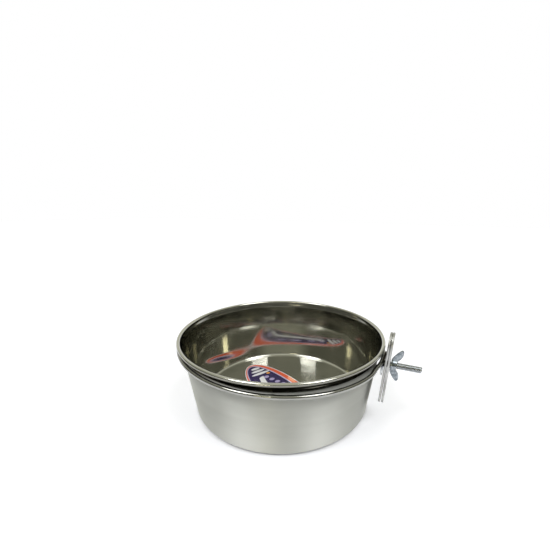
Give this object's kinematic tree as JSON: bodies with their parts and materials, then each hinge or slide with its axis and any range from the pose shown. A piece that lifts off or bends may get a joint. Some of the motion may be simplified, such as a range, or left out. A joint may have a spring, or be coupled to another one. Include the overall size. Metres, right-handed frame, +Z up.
{
  "type": "bolt-on seed cup",
  "caption": "Round drawn steel feeding cup with a rolled rim, held in a wire ring whose bolt, clamp plates and wing nut grip cage bars.",
  "frame": {"origin": "middle of the cup's base, on the surface that it stands on", "axes": "+Z up out of the cup's mouth, +X from the cup's axis along the clamp bolt"},
  "size_m": [0.1776, 0.1538, 0.0693],
  "materials": {
    "cup_steel": "mirror inside, satin brushed outside",
    "label_print": "gloss printed film",
    "ring_wire": "polished",
    "bolt_zinc": "bright zinc plate",
    "plate_steel": "satin",
    "nut_zinc": "bright zinc plate"
  },
  "bodies": {
    "hanger": {"support_ring": "ring_wire", "clamp_bolt": "bolt_zinc"},
    "cup": {"cup": "cup_steel", "label": "label_print"},
    "inner_plate": {"inner_plate": "plate_steel"},
    "outer_plate": {"outer_plate": "plate_steel"},
    "wing_nut": {"wing_nut": "nut_zinc"}
  },
  "joints": [
    {"name": "cup_lift", "type": "slide", "parent": "hanger", "child": "cup", "axis": [0, 0, 1], "range_m": [0, 0.065]},
    {"name": "plate_swivel", "type": "hinge", "parent": "hanger", "child": "inner_plate", "pos_m": [0.07857, 0, 0.04654], "axis": [1, 0, 0], "continuous": true},
    {"name": "jaw_slide", "type": "slide", "parent": "inner_plate", "child": "outer_plate", "axis": [1, 0, 0], "range_m": [0, 0.0152]},
    {"name": "nut_spin", "type": "hinge", "parent": "outer_plate", "child": "wing_nut", "pos_m": [0.08162, 0, 0.04654], "axis": [1, 0, 0], "range_deg": [0, 6840]}
  ],
  "couplings": [
    {"joint": "nut_spin", "follows": "jaw_slide", "rad_per_m": 7853.9}
  ]
}
